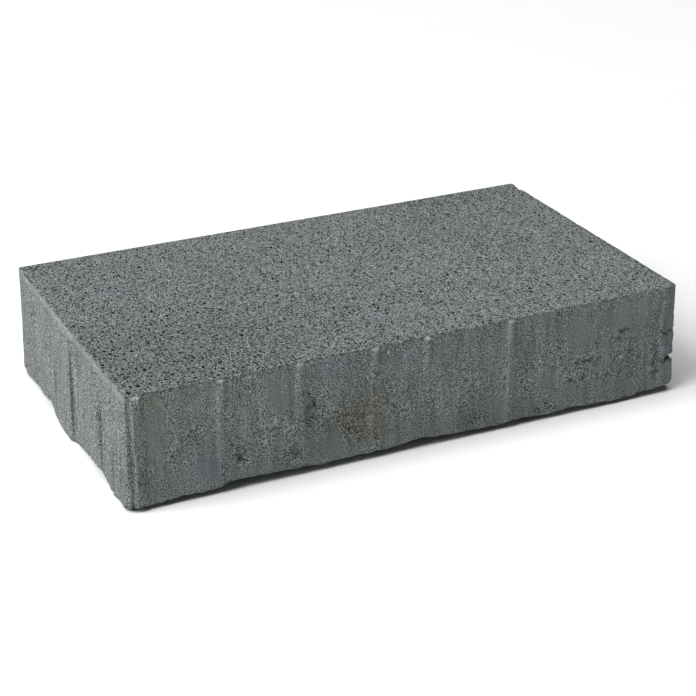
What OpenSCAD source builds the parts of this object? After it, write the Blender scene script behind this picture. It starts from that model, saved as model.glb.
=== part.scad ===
// Concrete paving stone: one cast block with spacer ribs down its four sides,
// a soft swell on each short side and a ragged lower edge. All sizes are in
// millimetres. The origin is at the middle of the underside, +X runs along the
// long side and +Z points up.

/* [Stone] */
// Length of the walking face, from corner to corner
stone_l = 350; // [240:1:480]
// Width of the walking face, from corner to corner
stone_w = 200; // [160:1:300]
// Thickness of the stone
stone_h = 70; // [50:1:120]
// How far each side leans out between the walking face and the underside
side_lean = 2; // [0.5:0.1:4]
// Radius of the four upright corners
corner_r = 2; // [1.6:0.1:8]
// Size of the worn bevel round the walking face
arris = 0.7; // [0.4:0.1:1.4]

/* [Spacer ribs] */
// Width of a rib where it meets the side
rib_w = 7; // [5:0.5:12]
// How far a rib stands proud of the side
rib_proud = 1.8; // [0.8:0.1:2.4]
// Plain height left between the bevel and the tip of a rib
rib_drop = 1; // [0.5:0.5:8]
// Height over which the tip of a rib slopes back into the side
rib_tip = 3.5; // [1:0.5:8]

/* [Swell of the short sides] */
// Length of the swell along the side
swell_l = 40; // [30:1:60]
// How far it stands proud at its foot
swell_foot = 1.8; // [1:0.1:6]
// How far it stands proud at its head, below the rib tips
swell_head = 1.4; // [0.4:0.1:1.8]

/* [Ragged lower edge] */
// Slope of the broken surface under the edge, in degrees from level
break_slope = 20; // [12:1:35]
// How far in under the stone a break may reach
break_reach = 24; // [16:1:40]

/* [Hidden] */
$fn = 32;

// Places of the ribs along a side, as shares of its length
long_ribs = [0.019, 0.159, 0.293, 0.424, 0.519, 0.673, 0.96];
short_ribs = [0.28, 0.52, 0.765];
// Where the swell of a short side begins, as a share of its length
swell_at = 0.335;
// Widths of the gentle and of the steep flank of the swell
swell_flanks = [19, 3];

// Lower edge as [share of the side, height above the bed]: where the height
// is negative, the edge is whole
long_edge = [
    [0, 2.1], [0.05, 2.9], [0.087, 4.2], [0.138, 3.3], [0.168, 6.1],
    [0.19, 6.3], [0.25, 5.3], [0.324, 4.1], [0.39, 4.8], [0.443, 4],
    [0.47, 5.2], [0.498, 6.5], [0.535, 4.9], [0.6, 4.1], [0.657, 3.1],
    [0.684, 4.6], [0.745, 2.9], [0.787, 4.4], [0.825, 3], [0.884, 2.2],
    [0.921, 3], [0.933, 4], [0.958, 3.6], [0.97, 4.4], [1, 5.4]
];
short_edge = [
    [0, 1.2], [0.06, 1.3], [0.1, 2.1], [0.135, 2.3], [0.182, 3.8],
    [0.22, 2.4], [0.26, 4.4], [0.3, 4.6], [0.33, 1.1], [0.36, -2],
    [0.53, -2], [0.56, 1.3], [0.62, 2.1], [0.695, 3.9], [0.72, 3.3],
    [0.75, 5], [0.785, 5.2], [0.82, 3.4], [0.87, 0.7], [0.885, 0.1],
    [0.92, 0.5], [1, 1.6]
];

// Angle of the sides from upright
lean_angle = atan(side_lean / (stone_h - arris));
// A rib is a round bar sunk into the side until its chord is rib_w
rib_r = (pow(rib_w / 2, 2) + pow(rib_proud, 2)) / (2 * rib_proud);
// Height of the top of the rib tips above the bed
rib_top = stone_h - arris - rib_drop;
// How deep the tips of the ribs and the swell end inside the stone
sunk = 0.5;
// How far a cutter, a rib or the swell runs past the surface that it crosses
past = 8;
// Thickness of the slices that a hull is stretched over
slice = 0.01;

// A ring at each corner, on the centres of the walking face's rounded corners
module corner_rings(ring_r, z) {
    for (x = [-1, 1], y = [-1, 1])
        translate([x * (stone_l / 2 - corner_r), y * (stone_w / 2 - corner_r), z])
            cylinder(h = slice, r = ring_r);
}

// The plain block: it leans out to the bed, and a bevel runs round its top
module block() {
    hull() {
        corner_rings(corner_r + side_lean, 0);
        corner_rings(corner_r, stone_h - arris - slice);
        corner_rings(corner_r - arris, stone_h - slice);
    }
}

// One spacer rib, upright, with its middle on the Z axis
module rib() {
    rotate_extrude()
        polygon([
            [0, -past], [rib_r, -past], [rib_r, rib_top - rib_tip],
            [rib_r - rib_proud - sunk, rib_top], [0, rib_top]
        ]);
}

// The ribs of one side, whose foot lies along the X axis and which faces -Y
module ribs(run, places) {
    for (place = places)
        translate([(place - 0.5) * run, rib_r - rib_proud, 0])
            rotate([-lean_angle, 0, 0])
                rib();
}

// Level section of the swell, from X = 0 onwards and proud towards -Y
module swell_section(proud, z) {
    translate([0, 0, z])
        linear_extrude(height = slice)
            polygon([
                [0, past], [0, 0], [swell_flanks[0], -proud],
                [swell_l - swell_flanks[1], -proud], [swell_l, 0], [swell_l, past]
            ]);
}

// The swell of one side: it thins from foot to head, then slopes back in
module swell(run) {
    translate([(swell_at - 0.5) * run, 0, 0])
        rotate([-lean_angle, 0, 0])
            hull() {
                swell_section(swell_foot, -past);
                swell_section(swell_head, rib_top - rib_tip);
                swell_section(-sunk, rib_top);
            }
}

// What is missing under the lower edge of one side: its top follows the edge's
// outline and slopes down into the underside
module edge_break(run, edge) {
    level = cos(break_slope);
    end_x = run / 2 + past;
    outline = [for (p = edge) [(p[0] - 0.5) * run, p[1] * level]];
    ends = [
        [end_x, outline[len(edge) - 1][1]], [end_x, -break_reach],
        [-end_x, -break_reach], [-end_x, outline[0][1]]
    ];
    rotate([-break_slope, 0, 0])
        translate([0, break_reach, 0])
            rotate([90, 0, 0])
                linear_extrude(height = break_reach + 2 * past)
                    polygon(concat(outline, ends));
}

// Puts children made for a foot along the X axis at the foot of one long side,
// and a copy, turned half round, at the foot of the other
module on_long_sides() {
    for (turn = [0, 180])
        rotate([0, 0, turn])
            translate([0, -stone_w / 2 - side_lean, 0])
                children();
}

// The same for the two short sides
module on_short_sides() {
    for (turn = [-90, 90])
        rotate([0, 0, turn])
            translate([0, -stone_l / 2 - side_lean, 0])
                children();
}

module paving_stone() {
    color([0.42, 0.44, 0.44])
        difference() {
            union() {
                block();
                on_long_sides() ribs(stone_l, long_ribs);
                on_short_sides() {
                    ribs(stone_w, short_ribs);
                    swell(stone_w);
                }
            }
            on_long_sides() edge_break(stone_l, long_edge);
            on_short_sides() edge_break(stone_w, short_edge);
            translate([-stone_l, -stone_w, -2 * past])
                cube([2 * stone_l, 2 * stone_w, 2 * past]);
        }
}

paving_stone();
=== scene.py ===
"""Looks of the concrete paving stone.

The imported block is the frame. One detailed mesh stands for it: its walls are sampled
from the block and then dragged, torn and chipped as a cast stone's are, its walking
face carries open pores, and its underside is coarse. The mesh is worked out in
millimetres and made in metres.
"""

import math

import bpy
import numpy as np
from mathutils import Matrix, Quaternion, Vector
from mathutils.bvhtree import BVHTree
from mathutils.geometry import delaunay_2d_cdt


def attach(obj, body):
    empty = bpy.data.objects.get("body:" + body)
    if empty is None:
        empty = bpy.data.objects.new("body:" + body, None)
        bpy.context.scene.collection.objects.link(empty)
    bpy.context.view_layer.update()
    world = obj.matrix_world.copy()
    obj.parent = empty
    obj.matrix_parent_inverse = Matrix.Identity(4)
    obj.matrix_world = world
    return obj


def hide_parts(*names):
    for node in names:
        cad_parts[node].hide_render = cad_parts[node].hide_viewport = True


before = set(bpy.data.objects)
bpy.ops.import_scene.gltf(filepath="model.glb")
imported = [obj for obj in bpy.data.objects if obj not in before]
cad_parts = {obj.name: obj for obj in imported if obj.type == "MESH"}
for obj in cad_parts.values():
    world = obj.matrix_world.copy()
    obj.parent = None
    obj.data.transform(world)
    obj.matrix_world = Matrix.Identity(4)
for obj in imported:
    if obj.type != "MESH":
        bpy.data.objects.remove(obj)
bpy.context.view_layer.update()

MM = 0.001
SEED = 20
NODE = "paving_stone"

# Sides in the order in which the walls run round the stone, seen from above.
# A place on a side is counted in millimetres from where the side begins.
FRONT, RIGHT, BACK, LEFT = 0, 1, 2, 3

# Sizes of the block that the walls are sampled from
CORNER_R = 2.0
ARRIS = 0.7
SIDE_LEAN = 2.0
RIB_PROUD = 1.8
BREAK_SLOPE = math.tan(math.radians(20))

# Columns and rows of the walls: spacing of the columns on a side, how many go round a
# corner and the spacing of those ones' places, and the number of rows
COLUMN_STEP = 1.0
CORNER_STEPS = 5
CORNER_PLACE_STEP = 0.6
WALL_ROWS = 46
# Height above which no wall is broken, and how often the search for the edge halves it
UNBROKEN = 9.0
EDGE_HALVINGS = 12
# Steps aside for a ray that slips between two faces
BESIDE = (0.0, 0.017, -0.023, 0.041)


# ---------------------------------------------------------------- noise

def lattice(ix, iy, iz, seed):
    """A fixed random number from 0 to 1 for each whole-number point."""
    mask = np.uint64(0xFFFFFFFF)
    h = (ix.astype(np.int64) * 374761393 + iy.astype(np.int64) * 668265263
         + iz.astype(np.int64) * 1442695041 + seed * 1013904223).astype(np.uint64) & mask
    h = ((h ^ (h >> np.uint64(13))) * np.uint64(1274126177)) & mask
    h = ((h ^ (h >> np.uint64(16))) * np.uint64(2246822519)) & mask
    h = h ^ (h >> np.uint64(15))
    return (h & mask).astype(np.float64) / float(0xFFFFFFFF)


def value_noise(points, size, seed):
    """Smooth noise from 0 to 1 with lumps of the given size: one number, or one per axis."""
    p = np.asarray(points, float) / np.asarray(size, float)
    cell = np.floor(p)
    f = p - cell
    f = f * f * (3 - 2 * f)
    total = np.zeros(len(p))
    for dx in (0, 1):
        for dy in (0, 1):
            for dz in (0, 1):
                weight = (np.abs(1 - dx - f[:, 0]) * np.abs(1 - dy - f[:, 1])
                          * np.abs(1 - dz - f[:, 2]))
                corner = cell + (dx, dy, dz)
                total += weight * lattice(corner[:, 0], corner[:, 1], corner[:, 2], seed)
    return total


def fractal_noise(points, size, seed, octaves=3):
    """Octaves of value noise, each half as large and half as strong as the last."""
    total, weight = np.zeros(len(points)), 0.0
    for k in range(octaves):
        total += value_noise(points, np.asarray(size, float) / 2 ** k, seed + 17 * k) * 0.5 ** k
        weight += 0.5 ** k
    return total / weight


def smooth_step(x, low, high):
    """0 below low, 1 above high, and a smooth rise between them."""
    t = np.clip((x - low) / (high - low), 0, 1)
    return t * t * (3 - 2 * t)


# ---------------------------------------------------------------- block

class Block:
    """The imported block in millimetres, with a tree to cast rays at."""

    def __init__(self):
        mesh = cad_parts[NODE].data
        co = np.zeros(len(mesh.vertices) * 3)
        mesh.vertices.foreach_get("co", co)
        co = co.reshape(-1, 3) / MM
        self.low, self.high = co.min(0), co.max(0)
        self.top = self.high[2]
        crown = co[co[:, 2] > self.top - 0.01]
        self.half_l = crown[:, 0].max() + ARRIS
        self.half_w = crown[:, 1].max() + ARRIS
        polygons = [tuple(p.vertices) for p in mesh.polygons]
        self.tree = BVHTree.FromPolygons(co.tolist(), polygons)

    def cast(self, start, along):
        """First hit of a ray; one that slips between two faces is tried again beside it."""
        for step in BESIDE:
            hit = self.tree.ray_cast(start + Vector((step, step, step)), along)
            if hit[0] is not None:
                return hit
        raise RuntimeError("a ray misses the block")

    def reach(self, column, z, far=30.0):
        """How far out the block's surface lies from a column's foot, at height z."""
        x, y, nx, ny = column
        start = Vector((x + nx * far, y + ny * far, z))
        return far - self.cast(start, Vector((-nx, -ny, 0)))[3]

    def edge_height(self, column, reach, inset=0.5):
        """Height of the ragged lower edge at a column, whose wall has the given reach."""
        low, high = 0.0, UNBROKEN
        for _ in range(EDGE_HALVINGS):
            middle = (low + high) / 2
            if self.reach(column, middle) > reach - inset:
                high = middle
            else:
                low = middle
        return max(high - inset * BREAK_SLOPE, 0.0)

    def under(self, x, y, below=5.0):
        """Height of the block's underside at a point."""
        return self.cast(Vector((x, y, -below)), Vector((0, 0, 1)))[0].z


class Columns:
    """The columns of the walls: foot, outward direction, side and place on the side."""

    def __init__(self, block):
        inner_l, inner_w = block.half_l - CORNER_R, block.half_w - CORNER_R
        signs = ((-1, -1), (1, -1), (1, 1), (-1, 1))
        corners = [(sx * inner_l, sy * inner_w) for sx, sy in signs]
        rows = []
        for side in range(4):
            (x0, y0), (x1, y1) = corners[side], corners[(side + 1) % 4]
            run = math.hypot(x1 - x0, y1 - y0)
            count = round(run / COLUMN_STEP)
            turn = -math.pi / 2 + side * math.pi / 2
            for k in range(count):
                t = k / count
                rows.append((x0 + (x1 - x0) * t, y0 + (y1 - y0) * t,
                             math.cos(turn), math.sin(turn), side, CORNER_R + t * run))
            for k in range(CORNER_STEPS):
                a = turn + math.pi / 2 * k / CORNER_STEPS
                rows.append((x1, y1, math.cos(a), math.sin(a), side,
                             CORNER_R + run + k * CORNER_PLACE_STEP))
        table = np.array(rows)
        self.foot, self.out, self.rays = table[:, 0:2], table[:, 2:4], table[:, 0:4]
        self.side, self.place = table[:, 4].astype(int), table[:, 5]
        self.count = len(table)


# ---------------------------------------------------------------- walls

# How much of each rib is left below its tip; one with all of it stays as packed
RIB_KEPT = {
    FRONT: (0.6, 0.28, 0.08, 0.16, 0.06, 0.4, 0.06),
    RIGHT: (0.7, 1, 0.6),
    BACK: (0.8, 0.5, 0.6, 0.7, 0.4, 0.75, 0.6),
    LEFT: (0.5, 1, 0.6),
}
RIB_PLACES = {
    FRONT: (6.7, 55.7, 102.6, 148.4, 181.7, 235.6, 336.0),
    RIGHT: (56.0, 104.0, 153.0),
}
RIB_PLACES[BACK], RIB_PLACES[LEFT] = RIB_PLACES[FRONT], RIB_PLACES[RIGHT]

# Painted highlight down each rib's lit flank: its place from the rib's middle, and its strength
RIB_HIGHLIGHT_LINES = {
    FRONT: ((-3, 1.1), (-3, 0.75), (-3, 0.5), (-3, 0.6), (-3, 0.45), (-2, 1.1), (3.2, 1.1)),
    RIGHT: ((-3, 0.8),) * 3,
    BACK: ((-3, 0.8),) * 7,
    LEFT: ((-3, 0.8),) * 3,
}

# Smooth patches: side, place, height, half length, half height
CALM = (
    (FRONT, 318, 56, 18, 12), (FRONT, 345.5, 35, 5, 44), (FRONT, 282, 50, 11, 14),
    (FRONT, 300, 24, 12, 6), (FRONT, 262, 26, 9, 7), (FRONT, 90, 52, 9, 12), (FRONT, 17, 42, 7, 26),
    (FRONT, 122, 16, 9, 12), (FRONT, 230, 14, 5, 9), (FRONT, 46, 20, 7, 12), (LEFT, 92, 40, 8, 18),
    (LEFT, 136, 30, 6, 16), (LEFT, 46, 22, 10, 12), (BACK, 60, 50, 18, 12), (BACK, 200, 24, 16, 16),
    (RIGHT, 70, 44, 14, 14), (RIGHT, 165, 26, 12, 12),
)

# Torn, rough patches: side, place, height, half length, half height, depth
TORN = (
    (FRONT, 70, 60, 3, 6, 0.5), (FRONT, 108, 38, 5, 13, 0.7), (FRONT, 66, 19, 5, 14, 0.5),
    (FRONT, 157, 42, 3, 9, 0.5), (FRONT, 212, 10, 9, 7, 0.7), (FRONT, 261, 7, 14, 6, 0.9),
    (FRONT, 285, 33, 14, 2, 0.35), (FRONT, 292, 22, 22, 3, 0.2), (FRONT, 318, 32, 8, 7, 0.25),
    (FRONT, 134, 22, 9, 18, 0.4), (FRONT, 337, 22, 4, 20, 0.5), (FRONT, 97, 12, 14, 9, 0.3),
    (LEFT, 120, 55, 7, 9, 0.7), (LEFT, 157, 30, 4, 26, 0.7), (LEFT, 177, 20, 3, 14, 0.9),
    (LEFT, 190, 22, 3, 13, 0.7), (LEFT, 32, 50, 12, 9, 0.4), (LEFT, 72, 24, 4, 20, 0.5),
    (BACK, 60, 30, 14, 12, 0.6), (BACK, 150, 16, 18, 7, 0.8), (BACK, 228, 44, 8, 14, 0.5),
    (BACK, 300, 14, 20, 8, 0.7), (RIGHT, 40, 24, 12, 12, 0.6), (RIGHT, 135, 12, 16, 7, 0.8),
    (RIGHT, 176, 42, 6, 14, 0.5),
)
# Open pits: side, place, height, half length, half height, depth
PITS = (
    (FRONT, 314, 47.4, 4.6, 1.9, 1.8), (FRONT, 310, 42.6, 2.4, 1.0, 0.9),
    (FRONT, 276, 22, 3.0, 1.5, 0.6), (FRONT, 24, 59, 1.1, 1.1, 1.4),
    (FRONT, 107.5, 50, 1.1, 4.0, 0.6), (FRONT, 110.5, 43, 1.0, 4.5, 0.6),
    (FRONT, 106.5, 36, 1.0, 3.5, 0.5), (FRONT, 109.5, 30, 1.1, 3.0, 0.5),
    (FRONT, 66, 58, 1.0, 3.5, 0.5), (FRONT, 70.5, 62, 1.0, 2.5, 0.5),
    (FRONT, 64.5, 19, 1.1, 4.0, 0.5), (FRONT, 158, 43, 1.0, 4.0, 0.5),
    (FRONT, 209, 9, 1.6, 2.2, 0.5), (FRONT, 256, 7.5, 2.4, 1.8, 0.6),
    (BACK, 90, 40, 3.4, 2.0, 2.2), (BACK, 262, 52, 2.2, 1.6, 1.6),
    (RIGHT, 92, 34, 2.8, 1.8, 2.0),
)
# Short cracks: side, place, height, half length, depth
CRACKS = ((FRONT, 345, 40.5, 5, 0.9), (FRONT, 345, 21.7, 5, 1.3), (BACK, 30, 28, 6, 0.8))
# Knocks on the upright corners: X sign, Y sign, height, half length, half height, depth
KNOCKS = (
    (1, -1, 23.0, 9.0, 2.6, 3.0), (1, -1, 3.0, 4.0, 4.0, 1.2), (-1, -1, 1.5, 3.0, 3.0, 1.2),
    (1, -1, 40.5, 4.0, 1.8, 1.0), (1, -1, 52.0, 4.0, 2.0, 0.6), (1, -1, 31.0, 4.0, 2.0, 0.7),
)
# Chips off the top edge: side, place, half length, bite
CHIPS = (
    (RIGHT, 190, 6, 1.4), (FRONT, 337, 5, 0.7), (FRONT, 208, 5, 0.5), (FRONT, 63, 4, 0.5),
)

# Tones of the walls: side, place, height, half length, half height, colour factor
TONES = (
    (FRONT, 140, 26, 20, 24, (0.83, 0.8, 0.71)), (FRONT, 250, 35, 7, 7, (0.98, 0.97, 0.9)),
    (FRONT, 115, 16, 6, 6, (0.93, 1.0, 0.95)), (FRONT, 120, 62, 12, 6, (0.97, 0.97, 1.05)),
    (FRONT, 170, 58, 6, 5, (0.98, 0.97, 1.05)), (FRONT, 47, 20, 12, 12, (0.98, 0.98, 1.03)),
    (FRONT, 16, 64, 5, 6, (0.98, 0.99, 0.88)), (FRONT, 60, 67, 5, 4, (0.96, 0.98, 0.9)),
    (FRONT, 197, 66, 7, 4, (0.98, 1.0, 0.9)), (FRONT, 222, 12, 40, 11, (0.86, 0.86, 0.86)),
    (FRONT, 308, 36, 44, 34, (0.95, 0.95, 0.97)), (FRONT, 345.5, 35, 5, 60, (0.88, 0.88, 0.9)),
    # (FRONT, 339.8) is a painted highlight down the last rib's lit flank
    (FRONT, 339.8, 32, 1.6, 48, (1.22, 1.22, 1.22)),
    (FRONT, 109, 30, 5, 24, (0.74, 0.75, 0.74)), (FRONT, 30, 50, 26, 24, (1.04, 1.04, 1.03)),
    (FRONT, 80, 40, 22, 26, (1.04, 1.04, 1.05)), (FRONT, 186, 44, 22, 20, (1.05, 1.05, 1.05)),
    (LEFT, 200.4, 34, 1.5, 60, (0.68, 0.69, 0.68)), (FRONT, 1.6, 34, 1.7, 60, (0.74, 0.75, 0.74)),
    (LEFT, 100, 35, 140, 60, (1.0, 1.0, 0.975)),
    # (FRONT, 240) and (FRONT, 61) are painted shade on the right flanks of two ribs; (FRONT, 7.4,
    # 68.3) is a painted highlight on the first rib's tip
    (FRONT, 128, 20, 1.2, 14, (1.14, 1.14, 1.12)), (FRONT, 240, 34, 3, 34, (0.9, 0.9, 0.9)),
    (FRONT, 61, 30, 3, 34, (0.9, 0.9, 0.91)), (FRONT, 216, 36, 2, 34, (0.9, 0.9, 0.9)),
    (FRONT, 7.4, 68.3, 3.0, 1.6, (1.5, 1.5, 1.5)), (FRONT, 282, 33, 18, 1.8, (0.88, 0.88, 0.88)),
    (FRONT, 285, 37, 14, 1.2, (1.12, 1.12, 1.12)),
    # (LEFT, 106.5), (LEFT, 156.5) and (LEFT, 72.5) are painted shade along the flanks of the left
    # side's ribs and of a swell
    (LEFT, 106.5, 28, 1.5, 36, (0.42, 0.42, 0.43)), (LEFT, 120, 56, 5, 11, (0.84, 0.84, 0.84)),
    (LEFT, 156.5, 28, 1.6, 30, (0.6, 0.6, 0.6)), (LEFT, 177, 18, 1.5, 17, (0.5, 0.5, 0.51)),
    (LEFT, 190.5, 22, 2.2, 15, (0.76, 0.76, 0.78)), (LEFT, 72.5, 24, 2.6, 26, (0.8, 0.8, 0.8)),
    (LEFT, 142, 40, 9, 34, (1.1, 1.1, 1.1)), (LEFT, 42, 36, 22, 34, (1.04, 1.04, 1.02)),
    (LEFT, 115, 14, 5, 10, (0.92, 1.0, 0.9)), (LEFT, 169, 20, 4, 14, (1.0, 1.0, 0.92)),
    (LEFT, 127, 30, 1.6, 26, (0.82, 0.82, 0.82)), (LEFT, 86, 34, 1.6, 30, (0.86, 0.86, 0.86)),
    (BACK, 100, 30, 30, 26, (0.9, 0.89, 0.84)), (BACK, 230, 44, 36, 20, (0.93, 0.93, 0.97)),
    (BACK, 310, 20, 24, 20, (0.9, 0.9, 0.88)), (RIGHT, 60, 36, 26, 24, (0.94, 0.93, 0.9)),
    (RIGHT, 150, 26, 20, 22, (0.92, 0.92, 0.95)),
)
# Tones of the walking face: from the left and the back edge, half sizes, colour factor
CROWN_TONES = (
    (50, 165, 110, 74, (0.865, 0.86, 0.85)), (300, 20, 60, 26, (0.97, 0.97, 0.96)),
    (180, 40, 50, 22, (1.03, 1.03, 1.03)), (90, 30, 40, 12, (1.0, 0.98, 0.94)),
    (240, 120, 60, 40, (1.03, 1.03, 1.03)), (30, 60, 34, 40, (1.0, 1.0, 1.02)),
)
# Factor where no tone is placed: the walking face, the underside, and the rounded edge
# along the left side, painted lighter as a highlight, and along the other sides, painted
# darker as shade
CROWN_TONE, BED_TONE, LEFT_EDGE_LIT_TONE, EDGE_SHADED_TONE = 0.925, 0.9, 1.05, 0.86

# Relief all over the walls, as noise: its size in X, Y and Z, its octaves and its depth
RELIEF = (((6, 6, 90), 3, 0.35), ((16, 16, 22), 3, 0.3), ((2.6, 2.6, 2.6), 2, 0.16))
# How softly a torn patch and a smooth patch end
TORN_SOFT, CALM_SOFT = 0.8, 0.6
# Painted highlight on the tip of a rib: half width, half height, drop below the walking face, shift
# to the left
TIP_HALF_WIDTH, TIP_HALF_HEIGHT, TIP_DROP, TIP_SHIFT = 3.4, 1.5, 1.4, 0.4
# Strength of the painted highlights on the ribs' tips, on the front and elsewhere, and along the
# left side's top edge
FRONT_TIP_HIGHLIGHT, TIP_HIGHLIGHT, LEFT_EDGE_HIGHLIGHT = 1.5, 0.4, 0.32
# Section of a rib: where its left flank rises and its right flank falls, and its reach
RIB_RISE, RIB_FALL, RIB_SPAN = (-3.6, -2.6), (0.2, 4.6), 6.5
# Drops over which a rib's tip ends, and over which the rib is rubbed down to what is kept
TIP_END, RUBBED = (3.5, 8), (7, 24)
# Bite of the edge's wear and the painted shade in its ragged chips, by side
EDGE_SHARE, EDGE_CHIP_SHADE = (1.0, 1.0, 0.5, 0.5), (0.22, 0.22, 0.05, 0.05)
# Rows that round the edge off: shares of the bite that they lie inwards and down
EDGE_ROWS = ((1.0, 0.0), (0.35, 0.3))
# Drop at which the reach of the edge rows is sampled, below the CAD's bevel
EDGE_SAMPLE = 1.5
# Wear of the upright corners at the left and the right end
LEFT_CORNER_WEAR, RIGHT_CORNER_WEAR = 0.3, 1.2


def tone_of_walls(points, side, place, height):
    """Colour factor of each point of the walls, from the placed tones."""
    tone = np.ones((len(points), 3))
    bend = 5 * (value_noise(points, 14, SEED + 50) - 0.5)
    for at_side, at, level, half_place, half_height, factor in TONES:
        soft = min(half_place, half_height) / 6
        across, up = (place + bend * soft - at) / half_place, (height - level) / half_height
        faint = smooth_step(np.hypot(across, up), 0.45, 1.15)
        mask = np.where(side == at_side, 1 - faint, 0.0)
        tone *= 1 + mask[:, None] * (np.array(factor) - 1)
    return tone


def tone_of_crown(xy, half_l, half_w):
    """Colour factor of each point of the walking face."""
    tone = np.full((len(xy), 3), CROWN_TONE)
    for x, y, half_x, half_y, factor in CROWN_TONES:
        across, back = (xy[:, 0] + half_l - x) / half_x, (half_w - y - xy[:, 1]) / half_y
        mask = 1 - smooth_step(np.hypot(across, back), 0.3, 1.2)
        tone *= 1 + mask[:, None] * (np.array(factor) - 1)
    return tone


def worn_of_walls(block, side, place, height):
    """Painted highlights on the walls: on the ribs' tips, down their lit flanks, and along the left
    side's top edge.
    """
    drop = block.top - height
    ragged = value_noise(np.column_stack([place, side * 9.0, height]), 1.3, SEED + 11)
    worn = np.where(side == LEFT, LEFT_EDGE_HIGHLIGHT * (1 - smooth_step(drop, 2, 5)), 0.0)
    fading = smooth_step(drop, 2, 4) * (0.24 - 0.14 * smooth_step(drop, 20, 60))
    for at_side, places in RIB_PLACES.items():
        tip_highlight = (0.5 + ragged) * (FRONT_TIP_HIGHLIGHT if at_side == FRONT else TIP_HIGHLIGHT)
        for at, (offset, strength) in zip(places, RIB_HIGHLIGHT_LINES[at_side]):
            across = np.abs(place - at + TIP_SHIFT) / TIP_HALF_WIDTH
            down = np.abs(drop - TIP_DROP) / TIP_HALF_HEIGHT
            tip = (1 - smooth_step(np.hypot(across, down), 0.5, 1.0)) * tip_highlight
            line = 1 - smooth_step(np.abs(place - at - offset), 0.2, 1.0)
            line *= fading * strength
            worn = np.where(side == at_side, np.maximum(worn, np.maximum(tip, line)), worn)
    return worn


def spot_mask(side, place, height, spot, soft):
    """1 at the middle of a spot on a wall and 0 outside it."""
    at_side, at, level, half_place, half_height = spot[:5]
    d = np.hypot((place - at) / half_place, (height - level) / half_height)
    return np.where(side == at_side, 1 - smooth_step(d, 1 - soft, 1 + soft * 0.3), 0.0)


def rib_profile(offset):
    """Section of a rib: a steep flank on its left, a flat and a long fall to the right."""
    return smooth_step(offset, *RIB_RISE) * (1 - smooth_step(offset, *RIB_FALL))


def rib_reach(side, place, drop, reach, plain):
    """Reach of the walls with the ribs rubbed down below their tips."""
    cut = reach.copy()
    below, rubbed = smooth_step(drop, *TIP_END), smooth_step(drop, *RUBBED)
    for at_side, places in RIB_PLACES.items():
        for at, share in zip(places, RIB_KEPT[at_side]):
            if share == 1:
                continue
            near = (side == at_side) & (np.abs(place - at) < RIB_SPAN)
            shape = 1 - below * (1 - rib_profile(place - at))
            kept = 1 - (1 - share) * rubbed
            cut = np.where(near, np.minimum(cut, plain + RIB_PROUD * shape * kept), cut)
    return cut


def wall_relief(points, side, place, height):
    """Depth cut into the walls in millimetres, the painted shade in the torn hollows, pits and
    cracks, and how torn each place is.
    """
    depth, dark, torn = (np.zeros(len(points)) for _ in range(3))
    for k, (size, octaves, share) in enumerate(RELIEF):
        depth += share * fractal_noise(points, size, SEED + 1 + k, octaves)
    rough = value_noise(points, 2.2, SEED + 4)
    for spot in TORN:
        mask = spot_mask(side, place, height, spot, TORN_SOFT)
        depth += mask * spot[5] * (0.25 + 0.75 * rough)
        # Painted shade where the torn hollows are deepest
        dark = np.maximum(dark, mask * smooth_step(rough, 0.5, 0.8) * 0.2)
        torn = np.maximum(torn, mask)
    for spot in CALM:
        torn -= spot_mask(side, place, height, spot, CALM_SOFT) * (1 - torn)
    wobble = (rough - 0.5) * 0.5
    for at_side, at, level, half_place, half_height, bite in PITS:
        d = np.hypot((place - at) / half_place, (height - level) / half_height) + wobble
        mask = np.where(side == at_side, 1 - smooth_step(d, 0.55, 1.05), 0.0)
        depth += mask * bite
        dark = np.maximum(dark, mask * (0.06 + 0.3 * smooth_step(rough, 0.45, 0.7)))
    for at_side, at, level, half, bite in CRACKS:
        line = np.abs(height - level - 1.2 * np.sin((place - at) * 0.9))
        along = (side == at_side) & (np.abs(place - at) < half)
        mask = np.where(along, 1 - smooth_step(line, 0.2, 0.9), 0)
        depth += mask * bite
        dark = np.maximum(dark, mask * 0.3)
    return depth, dark, torn


def knock_depth(points, block, outside=0.5):
    """Depth knocked off the upright corners; the knocks' middles lie a little outside."""
    depth = np.zeros(len(points))
    for sx, sy, level, half_length, half_height, bite in KNOCKS:
        at = (sx * (block.half_l + outside), sy * (block.half_w + outside), level)
        d = np.linalg.norm((points - at) / (half_length, half_length, half_height), axis=1)
        depth += (1 - smooth_step(d, 0.4, 1.0)) * bite
    return depth


def edge_bite(side, place, foot):
    """Size of the edge's wear round the walking face at each column, and the painted shade in its
    ragged chips.
    """
    flat = np.column_stack([foot, np.zeros(len(foot))])
    bite = ARRIS * (0.3 + 0.7 * fractal_noise(flat, 7, SEED + 7))
    ragged = value_noise(flat, 1.7, SEED + 8)
    bite += 0.6 * smooth_step(ragged, 0.7, 0.95)
    bite *= np.array(EDGE_SHARE)[side]
    for at_side, at, half, size in CHIPS:
        inside = (side == at_side) * (1 - smooth_step(np.abs(place - at) / half, 0.5, 1.1))
        bite += inside * size * (0.6 + 0.6 * ragged)
    return bite, smooth_step(ragged, 0.55, 0.8) * np.array(EDGE_CHIP_SHADE)[side]


def relief_share(side, drop):
    """Share of the relief a given drop below the walking face: the edges are crisper."""
    on_left = 0.2 + 0.8 * smooth_step(drop, 1, 10)
    elsewhere = 0.5 + 0.5 * smooth_step(drop, 0, 3)
    return np.where(side == LEFT, on_left, elsewhere)


def ragged_edge(block, columns):
    """Height of the CAD's lower edge at each column, and of the visual's more ragged one."""
    low_reach = [block.reach(ray, UNBROKEN) for ray in columns.rays]
    edge = np.array([block.edge_height(*pair) for pair in zip(columns.rays, low_reach)])
    flat = np.column_stack([columns.foot, np.zeros(columns.count)])
    ragged = 1.2 * value_noise(flat, 3, SEED + 5) + value_noise(flat, 1.3, SEED + 6)
    return edge, edge + ragged * np.clip(edge / 1.5, 0.15, 1) * 0.8


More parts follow.
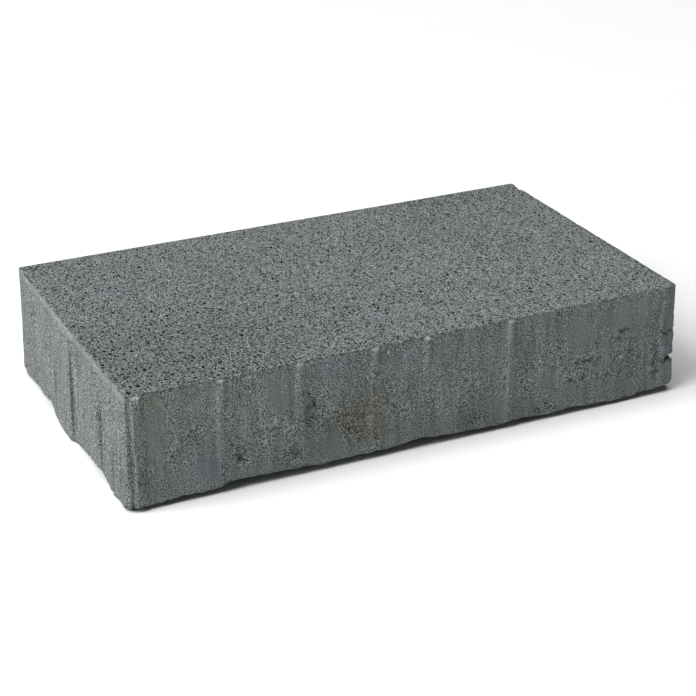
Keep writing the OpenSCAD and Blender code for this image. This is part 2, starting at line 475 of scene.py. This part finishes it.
def rounded_rows(block, columns, bite, edge_chip_shade):
    """The rows that round the walking face's edge off, as build_walls lists them."""
    foot, out, side = columns.foot, columns.out, columns.side
    full = np.array([block.reach(ray, block.top - EDGE_SAMPLE) for ray in columns.rays])
    wall_top = block.top - bite
    points = np.column_stack([foot + out * full[:, None], wall_top])
    relief = wall_relief(points, side, columns.place, wall_top)[0]
    zero = np.zeros(columns.count)
    # The rounded edge's tone: a painted highlight along the left side, painted shade along the
    # others
    tone = np.repeat(np.where(side == LEFT, LEFT_EDGE_LIT_TONE, EDGE_SHADED_TONE)[:, None], 3, axis=1)
    rows = []
    for inward, down in EDGE_ROWS:
        reach = full - relief * relief_share(side, bite) - bite * inward
        points = np.column_stack([foot + out * reach[:, None], block.top - bite * down])
        rows.append((points, edge_chip_shade * (down > 0), zero, zero, tone))
    return rows


def build_walls(block, columns):
    """Rows from the walking face's edge down to the underside's edge.

    Each row is its points, their painted shade, their painted highlights, how torn they are, and
    their tones.
    """
    foot, out, side, place = columns.foot, columns.out, columns.side, columns.place
    edge, cut_edge = ragged_edge(block, columns)
    bite, edge_chip_shade = edge_bite(side, place, foot)
    wall_top = block.top - bite
    on_corner = np.abs(out).min(1) > 0.02
    corner_wear = np.where(out[:, 0] < 0, LEFT_CORNER_WEAR, RIGHT_CORNER_WEAR) * on_corner

    rows = rounded_rows(block, columns, bite, edge_chip_shade)
    for k in range(WALL_ROWS):
        z = wall_top + (cut_edge - wall_top) * (k / (WALL_ROWS - 1))
        sampled = zip(columns.rays, np.maximum(z, edge + 0.05))
        reach = np.array([block.reach(ray, level) for ray, level in sampled])
        plain = CORNER_R + SIDE_LEAN * (1 - np.clip(z / (block.top - ARRIS), 0, 1))
        drop = block.top - z
        reach = rib_reach(side, place, drop, reach, plain)
        points = np.column_stack([foot + out * reach[:, None], z])
        depth, dark, torn = wall_relief(points, side, place, z)
        depth = depth * relief_share(side, drop) + knock_depth(points, block)
        depth += corner_wear * value_noise(points, 1.6, SEED + 10)
        points[:, :2] -= out * depth[:, None]
        dark = np.maximum(dark, edge_chip_shade * (k == 0))
        worn = worn_of_walls(block, side, place, z)
        rows.append((points, dark, worn, torn, tone_of_walls(points, side, place, z)))
    return rows


# ---------------------------------------------------------------- faces with pores

# Furthest that a pore's rim reaches from its middle, for a radius of 1
PORE_REACH = 1.6
# Least gaps between two pores, between a pore and the face's edge, and round a pore to the
# points between the pores
PORE_GAP, EDGE_GAP, FILL_GAP = 0.15, 0.35, 0.3
# Width of the squares in which neighbours are looked for
PORE_CELL = 8.0
# A pore below the first radius has 6 corners and no shelf, one below the second has 7
# corners, and a larger one has 10
SMALL_PORE, MIDDLE_PORE = 0.7, 1.0
# Rings of a pore: size, share of the depth, painted shade
PORE_RIM, PORE_SHELF = (1.0, 0.0, 0.0), (0.75, 0.75, 1.0)
# The largest pores of the walking face: from the left edge, from the back edge, radius
LARGE_PORES = (
    (328, 94, 1.3), (306, 96, 1.1), (269, 102, 1.1), (184, 58, 1.2), (217, 59, 1.1),
    (236, 62, 1.0), (89, 17, 1.2), (89, 115, 1.2), (306, 26, 1.3), (12, 190, 1.5),
    (4.6, 195.6, 1.5), (61, 189, 1.3), (300, 182, 1.2), (150, 140, 1.0), (44, 62, 1.0),
    (262, 168, 1.0),
)
# Pores along the front edge: how many, and the ranges of their X, of how far they lie from
# the edge and of their radius
FRONT_PORES, FRONT_PORE_X, FRONT_PORE_IN, FRONT_PORE_R = 190, (-170, 60), (1.8, 5.5), (0.55, 1.05)
# Places tried for the other pores of the walking face and for those of the underside
CROWN_TRIES, BED_TRIES = 9000, 260
# Depths of the pores, as shares of their radius
CROWN_PORE_DEPTH, BED_PORE_DEPTH = (0.9, 1.5), (0.5, 0.9)
# The corner of the walking face that is most open, and how far its openness reaches
OPEN_CORNER, OPEN_REACH = (-175, -100), (10, 170)
# Steps of the points between the pores: walking face, the underside's rim and its
# middle; then the width of that rim
CROWN_STEP, RIM_STEP, BED_STEP, RIM_WIDTH = 4.0, 2.5, 6.0, 22.0
# Least distance of those points from the face's edge
FILL_ROOM = 0.8


def room_inside(xy, ring, out):
    """How far inside a face's ring each point lies, from the ring's nearest point."""
    gap = xy[:, None, :] - ring[None, :, :2]
    nearest = np.argmin((gap ** 2).sum(2), axis=1)
    rows = np.arange(len(xy))
    return -(gap[rows, nearest] * out[nearest]).sum(1)


def scatter_pores(rng, ring, out, tries, sizes, density, fixed=()):
    """Places pores of random size so that none touch: rows of X, Y and radius."""
    grid, kept = {}, []

    def fits(x, y, r):
        gx, gy = int(x // PORE_CELL), int(y // PORE_CELL)
        near = [(i, j) for i in (gx - 1, gx, gx + 1) for j in (gy - 1, gy, gy + 1)]
        for ox, oy, other in (pore for at in near for pore in grid.get(at, ())):
            if (x - ox) ** 2 + (y - oy) ** 2 < ((r + other) * PORE_REACH + PORE_GAP) ** 2:
                return False
        return True

    half_l, half_w = np.abs(ring[:, 0]).max(), np.abs(ring[:, 1]).max()
    xs = rng.uniform(-half_l, half_l, tries)
    ys = rng.uniform(-half_w, half_w, tries)
    places = np.column_stack([xs, ys, np.zeros(tries)])
    rs = sizes(rng, places)
    chance = rng.uniform(0, 1, tries)
    wanted = density(places)
    if len(fixed):
        fx, fy, fr = np.array(fixed).T
        xs, ys, rs = np.append(fx, xs), np.append(fy, ys), np.append(fr, rs)
        chance = np.append(np.zeros(len(fixed)), chance)
        wanted = np.append(np.ones(len(fixed)), wanted)
    room = room_inside(np.column_stack([xs, ys]), ring, out) - rs * PORE_REACH
    for x, y, r, c, w, gap in zip(xs, ys, rs, chance, wanted, room):
        if c < w and gap > EDGE_GAP and fits(x, y, r):
            grid.setdefault((int(x // PORE_CELL), int(y // PORE_CELL)), []).append((x, y, r))
            kept.append((x, y, r))
    return np.array(kept)


def pore_rings(rng, pores, depth_share):
    """Points, depths, painted shade and ring edges of the pores."""
    points, depths, darks, edges = [], [], [], []
    for x, y, r in pores:
        n = 6 if r < SMALL_PORE else (7 if r < MIDDLE_PORE else 10)
        turn, stretch = rng.uniform(1.1, 2.1), rng.uniform(1.1, 1.55)
        jitter = rng.uniform(0.82, 1.15, n)
        depth = r * rng.uniform(*depth_share)
        for scale, level, dark in (PORE_RIM,) if r < SMALL_PORE else (PORE_RIM, PORE_SHELF):
            start = len(points)
            for k in range(n):
                a = 2 * math.pi * k / n
                px = math.cos(a) * r * scale * jitter[k] * stretch
                py = math.sin(a) * r * scale * jitter[k] * 0.88
                points.append((x + px * math.cos(turn) - py * math.sin(turn),
                               y + px * math.sin(turn) + py * math.cos(turn)))
                depths.append(depth * level)
                darks.append(dark)
                edges.append((start + k, start + (k + 1) % n))
        points.append((x, y))
        depths.append(depth)
        darks.append(1.0)
    return points, depths, darks, edges


def fill_points(rng, ring, out, step, pores, nearest=FILL_ROOM, furthest=math.inf):
    """A loose grid of points that keeps clear of the pores and of the edge."""
    half_l, half_w = np.abs(ring[:, 0]).max(), np.abs(ring[:, 1]).max()
    nx, ny = int(2 * half_l / step), int(2 * half_w / step)
    xs, ys = (np.arange(nx) + 0.5) * step - half_l, (np.arange(ny) + 0.5) * step - half_w
    gx, gy = np.meshgrid(xs, ys)
    shift = rng.uniform(-0.35, 0.35, (nx * ny, 2)) * step
    xy = np.column_stack([gx.ravel(), gy.ravel()]) + shift
    room = room_inside(xy, ring, out)
    clear = (room > nearest) & (room <= furthest)
    for x, y, r in pores:
        clear &= (xy[:, 0] - x) ** 2 + (xy[:, 1] - y) ** 2 > (r * PORE_REACH + FILL_GAP) ** 2
    return xy[clear].tolist()


def triangulate(ring, points, edges):
    """Triangles over the ring and the points inside it, as indices into ring + points."""
    n = len(ring)
    verts = [Vector(p) for p in ring] + [Vector(p) for p in points]
    inner = [(a + n, b + n) for a, b in edges]
    result = delaunay_2d_cdt(verts, inner, [list(range(n))], 1, 1e-6)
    origin = [o[0] if o else -1 for o in result[3]]
    if min(origin) < 0 or len(origin) != len(verts):
        raise RuntimeError("two rings of a face cross")
    return [tuple(origin[i] for i in f) for f in result[2]]


def near_corner(points):
    """1 at the corner of the walking face that is most open, 0 far from it."""
    away = np.hypot(points[:, 0] - OPEN_CORNER[0], points[:, 1] - OPEN_CORNER[1])
    return 1 - smooth_step(away, *OPEN_REACH)


def crown_density(points):
    """Share of pores kept over the walking face: more of them at one corner and in front."""
    lumps = fractal_noise(points, 26, SEED + 30)
    front = 1 - smooth_step(points[:, 1] - OPEN_CORNER[1], 3, 16)
    return np.clip(0.4 + 0.4 * (lumps - 0.5) + near_corner(points) + 0.5 * front, 0.1, 1)


def crown_sizes(rng, points):
    """Random radii for the walking face's pores: larger ones near the open corner."""
    sizes = rng.lognormal(math.log(0.56), 0.36, len(points))
    return np.clip(sizes * (1 + 0.28 * near_corner(points)), 0.4, 1.25)


def bed_density(points):
    """Share of pores kept over the underside: the same all over."""
    return np.full(len(points), 0.8)


def bed_sizes(rng, points):
    """Random radii for the underside's pores."""
    return np.clip(rng.lognormal(math.log(1.0), 0.4, len(points)), 0.5, 2.6)


def fixed_pores(rng, block):
    """The large pores and those along the front edge, in the stone's own X and Y."""
    fixed = [(x - block.half_l, block.half_w - y, r) for x, y, r in LARGE_PORES]
    xs, ys, rs = (rng.uniform(*span, FRONT_PORES)
                  for span in (FRONT_PORE_X, FRONT_PORE_IN, FRONT_PORE_R))
    return fixed + [(x, y - block.half_w, r) for x, y, r in zip(xs, ys, rs)]


def build_crown(ring, out, level, pores):
    """The walking face inside its ring: points with height, painted shade in the pores, and
    triangles.
    """
    rng = np.random.default_rng(SEED + 1)
    points, depths, darks, edges = pore_rings(rng, pores, CROWN_PORE_DEPTH)
    fill = fill_points(rng, ring, out, CROWN_STEP, pores)
    xy, flat = np.array(points + fill), [0.0] * len(fill)
    tris = triangulate(ring[:, :2].tolist(), points + fill, edges)
    return np.column_stack([xy, level - np.array(depths + flat)]), np.array(darks + flat), tris


def build_bed(block, ring, out, pores):
    """The underside inside its ring: it follows the breaks and is coarse all over."""
    rng = np.random.default_rng(SEED + 2)
    points, depths, darks, edges = pore_rings(rng, pores, BED_PORE_DEPTH)
    fill = fill_points(rng, ring, out, RIM_STEP, pores, FILL_ROOM, RIM_WIDTH)
    fill += fill_points(rng, ring, out, BED_STEP, pores, RIM_WIDTH)
    xy, flat = np.array(points + fill), [0.0] * len(fill)
    level = np.column_stack([xy, np.zeros(len(xy))])
    z = np.array([block.under(x, y) for x, y in xy])
    lumps = smooth_step(fractal_noise(level, 9, SEED + 40), 0.45, 0.9)
    z += 0.8 * lumps + np.where(z > 0.2, 1.2, 0.15) * value_noise(level, 3, SEED + 41)
    z += np.array(depths + flat)
    tris = triangulate(ring[:, :2].tolist(), points + fill, edges)
    # The underside's pores carry a weaker painted shade
    return np.column_stack([xy, z]), np.array(darks + flat) * 0.7, tris


# ---------------------------------------------------------------- one mesh

# The square sheet that the texture is baked to: its size, the walls' height on it, and
# where each patch of it begins
SHEET, SHEET_WALL = 500.0, 70.0
PATCHES = {"crown": (1, 1), "bed": (1, 206), FRONT: (1, 410), RIGHT: (357, 1),
           LEFT: (357, 212), BACK: (429, 1)}
# How far the walking face's mask reaches down the edge: its first and its second row
EDGE_MASK = (1.0, 0.6)
# How torn the underside is, and the angle past which an edge is sharp
BED_TORN = 0.8
SHARP_ANGLE = math.radians(50)


def sheet_place(patch, u, v):
    """Where a patch's point lies on the sheet; the patches of three sides lie upright."""
    if patch in (RIGHT, LEFT, BACK):
        u, v = v, u
    return (PATCHES[patch][0] + u) / SHEET, (PATCHES[patch][1] + v) / SHEET


def wall_faces(columns, row_count):
    """Faces between the rows of the walls, and where their corners lie on the sheet."""
    n, faces, uvs = columns.count, [], []
    for r in range(row_count - 1):
        v0, v1 = (SHEET_WALL * (1 - k / row_count) for k in (r, r + 1))
        for c in range(n):
            d = (c + 1) % n
            faces.append((r * n + c, (r + 1) * n + c, (r + 1) * n + d, r * n + d))
            side, u0 = int(columns.side[c]), columns.place[c]
            u1 = columns.place[d] if columns.side[d] == side else u0 + CORNER_PLACE_STEP
            uvs += [sheet_place(side, *at) for at in ((u0, v0), (u0, v1), (u1, v1), (u1, v0))]
    return faces, uvs


def cap_faces(patch, block, verts, tris, ring_count, ring_start, start):
    """Faces of the walking face or the underside, and their corners on the sheet."""
    faces, uvs = [], []
    for tri in tris:
        ids = [ring_start + i if i < ring_count else start + i - ring_count for i in tri]
        if patch == "bed":
            ids.reverse()
        faces.append(tuple(ids))
        for x, y, _ in verts[ids]:
            uvs.append(sheet_place(patch, x + block.half_l + 2, y + block.half_w + 1))
    return faces, uvs


def make_mesh(verts, faces, uvs, values, tone):
    """The mesh in metres, with its places on the sheet and what the material reads."""
    mesh = bpy.data.meshes.new("stone_mesh")
    mesh.from_pydata((verts * MM).tolist(), [], faces)
    layer = mesh.uv_layers.new(name="OFBake")
    layer.data.foreach_set("uv", np.array(uvs, np.float32).ravel())
    for name, numbers in values.items():
        attribute = mesh.attributes.new(name, "FLOAT", "POINT")
        attribute.data.foreach_set("value", numbers.astype(np.float32))
    attribute = mesh.attributes.new("tone", "FLOAT_VECTOR", "POINT")
    attribute.data.foreach_set("vector", tone.astype(np.float32).ravel())
    mesh.polygons.foreach_set("use_smooth", [True] * len(mesh.polygons))
    mesh.set_sharp_from_angle(angle=SHARP_ANGLE)
    mesh.update()
    return mesh


def make_stone():
    """The detailed stone as one closed mesh."""
    block = Block()
    columns = Columns(block)
    rows = build_walls(block, columns)
    walls, wall_dark, wall_worn, wall_torn, wall_tone = map(np.concatenate, zip(*rows))
    n, out, ring, foot_ring = columns.count, columns.out, rows[0][0], rows[-1][0]

    rng = np.random.default_rng(SEED)
    fixed = fixed_pores(rng, block)
    crown_pores = scatter_pores(rng, ring, out, CROWN_TRIES, crown_sizes, crown_density, fixed)
    bed_pores = scatter_pores(rng, foot_ring, out, BED_TRIES, bed_sizes, bed_density)
    crown, crown_dark, crown_tris = build_crown(ring, out, block.top, crown_pores)
    bed, bed_dark, bed_tris = build_bed(block, foot_ring, out, bed_pores)

    verts = np.clip(np.vstack([walls, crown, bed]), block.low, block.high)
    crown_start, bed_start = len(walls), len(walls) + len(crown)
    crown_mask = np.zeros(len(verts))
    crown_mask[:2 * n] = np.repeat(EDGE_MASK, n)
    crown_mask[crown_start:bed_start] = 1
    crown_zero, bed_zero = np.zeros(len(crown)), np.zeros(len(bed))
    values = {
        "dark": np.concatenate([wall_dark, crown_dark, bed_dark]),
        "crown": crown_mask,
        "worn": np.concatenate([wall_worn, crown_zero, bed_zero]),
        "torn": np.concatenate([wall_torn, crown_zero, bed_zero + BED_TORN]),
    }
    crown_tone = tone_of_crown(crown, block.half_l, block.half_w)
    tone = np.vstack([wall_tone, crown_tone, np.full((len(bed), 3), BED_TONE)])

    faces, uvs = wall_faces(columns, len(rows))
    for patch, tris, ring_start, start in (("crown", crown_tris, 0, crown_start),
                                           ("bed", bed_tris, len(walls) - n, bed_start)):
        more = cap_faces(patch, block, verts, tris, n, ring_start, start)
        faces += more[0]
        uvs += more[1]
    stone = bpy.data.objects.new("stone_block", make_mesh(verts, faces, uvs, values, tone))
    bpy.context.scene.collection.objects.link(stone)
    return stone


# ---------------------------------------------------------------- materials

# Sizes in millimetres of the concrete's grain, of its smooth patches, of the streaks on
# its walls, of its holes, painted dark as shade, and of its single light dots
GRIT, FINE, SMOOTH, STREAK, HOLE, LIGHT_DOT = 0.75, 0.45, 13, 3.4, 2.0, 3.1
# How the grain, the streaks and the holes are drawn out: a smaller number is longer
DRAWN, DRAWN_DOWN, DRAWN_HOLE = (1.0, 0.6, 1.0), (1.0, 1.0, 0.1), (1.0, 0.5, 1.0)
# The darkest that the grain goes
DARKEST = 0.06
# Its colours: the two ends of its grey, and its olive and violet patches
GREY_DEEP, GREY_PALE = (0.142, 0.158, 0.157, 1), (0.153, 0.170, 0.168, 1)
OLIVE, VIOLET = (0.149, 0.158, 0.132, 1), (0.149, 0.153, 0.171, 1)
# The floor's whites
WHITE_DEEP, WHITE_PALE = (0.85, 0.85, 0.85, 1), (0.87, 0.87, 0.87, 1)
# How deep the bump of both materials is, in metres
BUMP_DEPTH = 0.0005


class Nodes:
    """Short calls that add shader nodes to one material."""

    def __init__(self, name):
        self.material = bpy.data.materials.new(name)
        self.material.use_nodes = True
        self.tree = self.material.node_tree
        self.tree.nodes.clear()

    def add(self, kind, **values):
        """A new node with the given settings."""
        node = self.tree.nodes.new(kind)
        for key, value in values.items():
            setattr(node, key, value)
        return node

    def feed(self, socket, value):
        """Links a socket to another, or sets it to a number or colour."""
        if hasattr(value, "links"):
            self.tree.links.new(value, socket)
        else:
            socket.default_value = value

    def filled(self, kind, inputs, **values):
        """A new node whose named inputs are fed."""
        node = self.add(kind, **values)
        for name, value in inputs.items():
            self.feed(node.inputs[name], value)
        return node

    def math(self, operation, a, b, clamp=False):
        """One operation on two numbers."""
        node = self.add("ShaderNodeMath", operation=operation, use_clamp=clamp)
        self.feed(node.inputs[0], a)
        self.feed(node.inputs[1], b)
        return node.outputs[0]

    def times(self, product, *factors):
        """Multiplies numbers, in the order given."""
        for factor in factors:
            product = self.math("MULTIPLY", product, factor)
        return product

    def mix(self, factor, a, b, blend="MIX"):
        """One colour made of two."""
        node = self.add("ShaderNodeMix", data_type="RGBA", blend_type=blend)
        for index, value in ((0, factor), (6, a), (7, b)):
            self.feed(node.inputs[index], value)
        return node.outputs[2]

    def stretch(self, coords, scale):
        """Coordinates scaled by a factor for each axis."""
        inputs = {"Vector": coords, "Scale": scale}
        return self.filled("ShaderNodeMapping", inputs).outputs[0]

    def noise(self, coords, size_mm, detail, rough=0.5):
        """Noise with lumps of the given size."""
        inputs = {"Vector": coords, "Scale": 1000 / size_mm, "Detail": detail,
                  "Roughness": rough}
        return self.filled("ShaderNodeTexNoise", inputs).outputs["Fac"]

    def cells(self, coords, size_mm):
        """Distance from the middle of the nearest cell, and a random colour for each cell."""
        inputs = {"Vector": coords, "Scale": 1000 / size_mm}
        node = self.filled("ShaderNodeTexVoronoi", inputs)
        return node.outputs["Distance"], node.outputs["Color"]

    def spread(self, value, low, high, to_low=0.0, to_high=1.0):
        """Maps low..high to to_low..to_high, held at the ends."""
        inputs = {"Value": value, "From Min": low, "From Max": high, "To Min": to_low,
                  "To Max": to_high}
        return self.filled("ShaderNodeMapRange", inputs, clamp=True).outputs["Result"]

    def attribute(self, name, output="Fac"):
        """What the mesh's points hold: one number, or three from the output "Vector"."""
        return self.add("ShaderNodeAttribute", attribute_name=name).outputs[output]

    def surface(self, colour, rough, height, strength, specular):
        """Ends the material: a surface of this colour, roughness, bump and shine."""
        bump = {"Strength": strength, "Distance": BUMP_DEPTH, "Height": height}
        look = {"Specular IOR Level": specular, "Base Color": colour, "Roughness": rough,
                "Normal": self.filled("ShaderNodeBump", bump).outputs[0]}
        shader = self.filled("ShaderNodeBsdfPrincipled", look)
        self.filled("ShaderNodeOutputMaterial", {"Surface": shader.outputs[0]})
        return self.material


def base_colour(n, coords):
    """Grey that drifts over the stone, with olive and violet patches and the placed tones."""
    drift = n.spread(n.noise(coords, 70, 3), 0.3, 0.7)
    olive = n.spread(n.noise(coords, 26, 2), 0.55, 0.72)
    askew = n.stretch(coords, (1.1, 0.9, 1.2))
    violet = n.spread(n.noise(askew, 21, 2), 0.58, 0.74)
    colour = n.mix(drift, GREY_DEEP, GREY_PALE)
    colour = n.mix(n.times(olive, 0.35), colour, OLIVE)
    colour = n.mix(n.times(violet, 0.3), colour, VIOLET)
    return n.mix(1.0, colour, n.attribute("tone", "Vector"), "MULTIPLY")


def concrete():
    """Dark grey cast concrete: sand grain, open pores above, dragged streaks on the walls."""
    n = Nodes("concrete_cast")
    coords = n.add("ShaderNodeTexCoord").outputs["Object"]
    crown, dark, worn, torn = map(n.attribute, ("crown", "dark", "worn", "torn"))
    wall = n.math("SUBTRACT", 1.0, crown)
    drawn = n.stretch(coords, DRAWN)

    # Sand grain: less of it in the walls' smooth patches and under the painted highlights
    grit, fine = n.noise(drawn, GRIT, 1), n.noise(drawn, FINE, 1)
    smooth = n.spread(n.noise(coords, SMOOTH, 3), 0.42, 0.62)
    smooth = n.math("SUBTRACT", smooth, n.times(torn, 0.6), clamp=True)
    amount = n.math("SUBTRACT", 1.0, n.times(smooth, wall, 0.42))
    amount = n.times(amount, n.spread(torn, -1.0, 0.0, 0.45, 1.0),
                     n.spread(worn, 0.0, 0.4, 1.0, 0.4), n.spread(crown, 0.0, 1.0, 1.0, 0.9))
    rise = n.math("ADD", n.spread(grit, 0.35, 0.65, -0.85, 0.85),
                  n.spread(fine, 0.32, 0.68, -0.8, 0.8))
    grain = n.math("MAXIMUM", n.math("ADD", 1.0, n.times(rise, amount)), DARKEST)

    # Streaks down the walls, and broad blotches all over
    streak = n.spread(n.noise(n.stretch(coords, DRAWN_DOWN), STREAK, 3, 0.6), 0.3, 0.7, -0.2, 0.2)
    streak = n.math("ADD", 1.0, n.times(streak, wall))
    blotch = n.spread(n.noise(coords, 16, 2), 0.3, 0.7, 0.96, 1.04)

    # Small holes with painted shade in them, most of them on the walking face, and single light
    # dots
    near, pick = n.cells(n.stretch(coords, DRAWN_HOLE), HOLE)
    shown = n.math("MAXIMUM", n.spread(crown, 0.0, 1.0, 0.15, 0.97), n.times(torn, 0.8))
    hole = n.times(n.spread(near, 0.2, 0.32, 1.0, 0.0), n.spread(pick, 0.5, 0.52), shown)
    near, pick = n.cells(drawn, LIGHT_DOT)
    light_dot = n.times(n.spread(near, 0.1, 0.22, 0.9, 0.0), n.spread(pick, 0.6, 0.62))

    # Grain, streaks and blotches, then the painted shade in holes, pores, pits, cracks and chips,
    # the light dots, and the painted highlights on the ribs and the left edge
    shade = n.times(grain, streak, blotch, n.math("SUBTRACT", 1.0, hole),
                    n.math("ADD", 1.0, light_dot), n.spread(dark, 0.0, 0.35, 1.0, 0.1),
                    n.math("ADD", worn, 1.0))
    colour = n.add("ShaderNodeVectorMath", operation="SCALE")
    n.feed(colour.inputs[0], base_colour(n, coords))
    n.feed(colour.inputs["Scale"], shade)
    height = n.math("ADD", n.times(grit, 0.7), n.times(fine, 0.25))
    height = n.math("SUBTRACT", height, n.times(hole, 0.5))
    rough = n.spread(grit, 0.3, 0.7, 0.95, 0.8)
    return n.surface(colour.outputs[0], rough, height, strength=0.6, specular=0.25)


def pale_floor():
    """A matt white studio floor with a faint mottle."""
    n = Nodes("floor_white")
    coords = n.add("ShaderNodeTexCoord").outputs["Object"]
    mottle = n.noise(coords, 60, 3)
    colour, rough = n.mix(mottle, WHITE_DEEP, WHITE_PALE), n.spread(mottle, 0.3, 0.7, 0.85, 0.95)
    return n.surface(colour, rough, n.noise(coords, 3, 2), strength=0.05, specular=0.1)


# ---------------------------------------------------------------- studio

# The floor in metres: its size, its cuts each way, and how far below the stone it lies
FLOOR_SIZE, FLOOR_CUTS, FLOOR_GAP = 30.0, 8, 0.00005
# The camera: angles in degrees, lens and sensor in millimetres, the rest in metres
CAMERA = {"azimuth": 25.05, "elevation": 24.95, "roll": -0.27, "lens": 95.46, "sensor": 36.0,
          "distance": 1.1372, "aim": (0.0002, -0.0057, 0.0242), "nearest": 0.01, "furthest": 100}
# Area lights: name, azimuth and elevation they come from in degrees, distance and size
# in metres, power in watts
LIGHTS = (
    ("light_left", -86, 45, 7.0, 5.0, 650),
    ("light_top", 0, 88, 6.0, 5.0, 190),
)
# Strength of the even light from all round
SKY = 0.05


def make_floor():
    """The floor that the stone stands on, a hair below it."""
    bpy.ops.mesh.primitive_grid_add(x_subdivisions=FLOOR_CUTS, y_subdivisions=FLOOR_CUTS,
                                    size=FLOOR_SIZE, location=(0, 0, -FLOOR_GAP))
    floor = bpy.context.object
    floor.name = "floor"
    floor.data.materials.append(pale_floor())


def make_light(name, azimuth, elevation, distance, size, power):
    """A square area light aimed at the stone; azimuth 0 comes from the front."""
    a, e = math.radians(azimuth), math.radians(elevation)
    data = bpy.data.lights.new(name, "AREA")
    data.shape = "SQUARE"
    data.size, data.energy = size, power
    light = bpy.data.objects.new(name, data)
    back = Vector((math.sin(a) * math.cos(e), -math.cos(a) * math.cos(e), math.sin(e)))
    light.location = back * distance
    light.rotation_mode = "QUATERNION"
    light.rotation_quaternion = back.to_track_quat("Z", "Y")
    bpy.context.scene.collection.objects.link(light)


def make_sky():
    """Even white light from all round."""
    world = bpy.data.worlds.new("studio")
    bpy.context.scene.world = world
    world.use_nodes = True
    nodes = world.node_tree.nodes
    background = nodes.get("Background") or nodes.new("ShaderNodeBackground")
    background.inputs["Color"].default_value = (1, 1, 1, 1)
    background.inputs["Strength"].default_value = SKY


def make_camera():
    """The camera at the photo's angle, rolled a little."""
    a, e = math.radians(CAMERA["azimuth"]), math.radians(CAMERA["elevation"])
    forward = Vector((math.sin(a) * math.cos(e), math.cos(a) * math.cos(e), -math.sin(e)))
    data = bpy.data.cameras.new("camera")
    data.lens, data.sensor_width = CAMERA["lens"], CAMERA["sensor"]
    data.clip_start, data.clip_end = CAMERA["nearest"], CAMERA["furthest"]
    camera = bpy.data.objects.new("camera", data)
    camera.location = Vector(CAMERA["aim"]) - forward * CAMERA["distance"]
    camera.rotation_mode = "QUATERNION"
    roll = Quaternion((0, 0, 1), math.radians(CAMERA["roll"]))
    camera.rotation_quaternion = forward.to_track_quat("-Z", "Y") @ roll
    bpy.context.scene.collection.objects.link(camera)
    bpy.context.scene.camera = camera


def build():
    """Makes the stone and the studio round it."""
    stone = make_stone()
    stone.data.materials.append(concrete())
    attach(stone, "root")
    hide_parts(NODE)
    make_floor()
    for light in LIGHTS:
        make_light(*light)
    make_sky()
    make_camera()
    bpy.context.scene.view_settings.view_transform = "Standard"


build()
